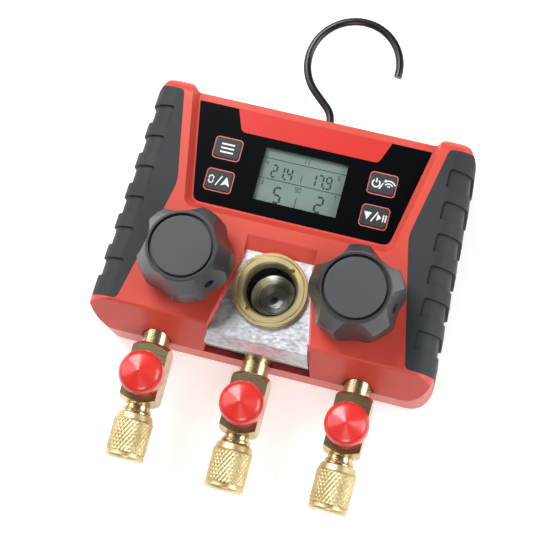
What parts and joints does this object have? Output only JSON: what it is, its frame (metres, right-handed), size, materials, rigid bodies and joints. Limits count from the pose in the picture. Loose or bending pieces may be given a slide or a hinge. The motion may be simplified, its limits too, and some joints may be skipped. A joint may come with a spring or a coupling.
{
  "type": "refrigerant manifold gauge",
  "caption": "Handheld digital refrigerant manifold with side grips, hand valves, sight glass, capped flare ports and a hanging hook.",
  "frame": {"origin": "on the back face, straight under the centre of the sight glass, in the left-right symmetry plane of the housing", "axes": "+X to the right seen from the front, +Y towards the hook, +Z out of the front; the part lies on its back"},
  "size_m": [0.135, 0.197, 0.067],
  "materials": {
    "housing_red": "fine-textured moulded plastic",
    "grip_rubber": "matt overmoulded rubber",
    "window_black": "glossy printed window",
    "label_red": "smooth printed plate, left bare",
    "lcd": "grey-green liquid crystal display",
    "frame_plastic": "moulded bezel",
    "button_rubber": "silicone keys",
    "board_green": "glass-fibre board",
    "block_alloy": "machined and tumbled",
    "brass": "turned brass",
    "glass": "polished",
    "seal_black": "moulded seal",
    "steel": "zinc plated",
    "knob_plastic": "moulded, satin",
    "disc_grey": "smooth insert",
    "dust_red": "dipped vinyl",
    "hook_black": "plastic-coated wire",
    "cell_wrap": "battery sleeve"
  },
  "bodies": {
    "housing": {"batteries": "cell_wrap", "battery_door": "housing_red", "battery_holder": "frame_plastic", "block_screws": "steel", "centre_port_fitting": "brass", "centre_valve_core": "brass", "display_window": "window_black", "front_shell": "housing_red", "hook_bush": "frame_plastic", "housing_screws": "steel", "keypad_mat": "button_rubber", "label_plate": "label_red", "lcd_frame": "frame_plastic", "lcd_glass": "lcd", "left_grip_front": "grip_rubber", "left_grip_rear": "grip_rubber", "left_port_fitting": "brass", "left_valve_bonnet": "brass", "left_valve_core": "brass", "main_board": "board_green", "manifold_block": "block_alloy", "pressure_sensors": "steel", "rear_shell": "housing_red", "right_grip_front": "grip_rubber", "right_grip_rear": "grip_rubber", "right_port_fitting": "brass", "right_valve_bonnet": "brass", "right_valve_core": "brass", "sight_gasket": "seal_black", "sight_glass": "glass", "sight_oring": "seal_black", "sight_ring": "brass"},
    "left_valve_lift": {"left_valve_piston": "brass"},
    "left_valve_knob": {"left_knob": "knob_plastic", "left_knob_disc": "disc_grey", "left_knob_set_screw": "steel", "left_valve_stem": "steel"},
    "right_valve_lift": {"right_valve_piston": "brass"},
    "right_valve_knob": {"right_knob": "knob_plastic", "right_knob_disc": "disc_grey", "right_knob_set_screw": "steel", "right_valve_stem": "steel"},
    "left_upper_key": {"left_upper_button": "button_rubber"},
    "right_upper_key": {"right_upper_button": "button_rubber"},
    "left_lower_key": {"left_lower_button": "button_rubber"},
    "right_lower_key": {"right_lower_button": "button_rubber"},
    "left_cap_thread": {"left_flare_cap_seal": "seal_black"},
    "left_cap_body": {"left_flare_cap": "brass"},
    "left_dust_cover": {"left_dust_cap": "dust_red"},
    "centre_cap_thread": {"centre_flare_cap_seal": "seal_black"},
    "centre_cap_body": {"centre_flare_cap": "brass"},
    "centre_dust_cover": {"centre_dust_cap": "dust_red"},
    "right_cap_thread": {"right_flare_cap_seal": "seal_black"},
    "right_cap_body": {"right_flare_cap": "brass"},
    "right_dust_cover": {"right_dust_cap": "dust_red"},
    "hook_wire": {"hook": "hook_black", "hook_clip": "steel"}
  },
  "joints": [
    {"name": "left_valve_rise", "type": "slide", "parent": "housing", "child": "left_valve_lift", "axis": [0, 0, 1], "range_m": [0, 0.003]},
    {"name": "left_valve_turn", "type": "hinge", "parent": "left_valve_lift", "child": "left_valve_knob", "pos_m": [-0.0328, 0.0041, 0.055], "axis": [0, 0, 1], "range_deg": [0, 722]},
    {"name": "right_valve_rise", "type": "slide", "parent": "housing", "child": "right_valve_lift", "axis": [0, 0, 1], "range_m": [0, 0.003]},
    {"name": "right_valve_turn", "type": "hinge", "parent": "right_valve_lift", "child": "right_valve_knob", "pos_m": [0.0328, 0.0041, 0.055], "axis": [0, 0, 1], "range_deg": [0, 722]},
    {"name": "left_upper_press", "type": "slide", "parent": "housing", "child": "left_upper_key", "axis": [0, 0, -1], "range_m": [0, 0.0008], "stiffness_N_per_m": 600, "springref_m": -0.0005},
    {"name": "right_upper_press", "type": "slide", "parent": "housing", "child": "right_upper_key", "axis": [0, 0, -1], "range_m": [0, 0.0008], "stiffness_N_per_m": 600, "springref_m": -0.0005},
    {"name": "left_lower_press", "type": "slide", "parent": "housing", "child": "left_lower_key", "axis": [0, 0, -1], "range_m": [0, 0.0008], "stiffness_N_per_m": 600, "springref_m": -0.0005},
    {"name": "right_lower_press", "type": "slide", "parent": "housing", "child": "right_lower_key", "axis": [0, 0, -1], "range_m": [0, 0.0008], "stiffness_N_per_m": 600, "springref_m": -0.0005},
    {"name": "left_cap_unscrew", "type": "slide", "parent": "housing", "child": "left_cap_thread", "axis": [0, -1, 0], "range_m": [0, 0.01016]},
    {"name": "left_cap_turn", "type": "hinge", "parent": "left_cap_thread", "child": "left_cap_body", "pos_m": [-0.04, -0.066, 0.027], "axis": [0, -1, 0], "range_deg": [0, 2890]},
    {"name": "left_dust_cap_pull", "type": "slide", "parent": "housing", "child": "left_dust_cover", "axis": [0, 0, 1], "range_m": [0, 0.014]},
    {"name": "centre_cap_unscrew", "type": "slide", "parent": "housing", "child": "centre_cap_thread", "axis": [0, -1, 0], "range_m": [0, 0.01016]},
    {"name": "centre_cap_turn", "type": "hinge", "parent": "centre_cap_thread", "child": "centre_cap_body", "pos_m": [0, -0.06795, 0.027], "axis": [0, -1, 0], "range_deg": [0, 2890]},
    {"name": "centre_dust_cap_pull", "type": "slide", "parent": "housing", "child": "centre_dust_cover", "axis": [0, 0, 1], "range_m": [0, 0.014]},
    {"name": "right_cap_unscrew", "type": "slide", "parent": "housing", "child": "right_cap_thread", "axis": [0, -1, 0], "range_m": [0, 0.01016]},
    {"name": "right_cap_turn", "type": "hinge", "parent": "right_cap_thread", "child": "right_cap_body", "pos_m": [0.04, -0.066, 0.027], "axis": [0, -1, 0], "range_deg": [0, 2890]},
    {"name": "right_dust_cap_pull", "type": "slide", "parent": "housing", "child": "right_dust_cover", "axis": [0, 0, 1], "range_m": [0, 0.014]},
    {"name": "hook_swivel", "type": "hinge", "parent": "housing", "child": "hook_wire", "pos_m": [0.00295, 0.0685, 0.0215], "axis": [0, 1, 0], "continuous": true}
  ],
  "couplings": [
    {"joint": "left_valve_turn", "follows": "left_valve_rise", "rad_per_m": 4188.8},
    {"joint": "right_valve_turn", "follows": "right_valve_rise", "rad_per_m": 4188.8},
    {"joint": "left_cap_turn", "follows": "left_cap_unscrew", "rad_per_m": 4947.4},
    {"joint": "centre_cap_turn", "follows": "centre_cap_unscrew", "rad_per_m": 4947.4},
    {"joint": "right_cap_turn", "follows": "right_cap_unscrew", "rad_per_m": 4947.4}
  ]
}
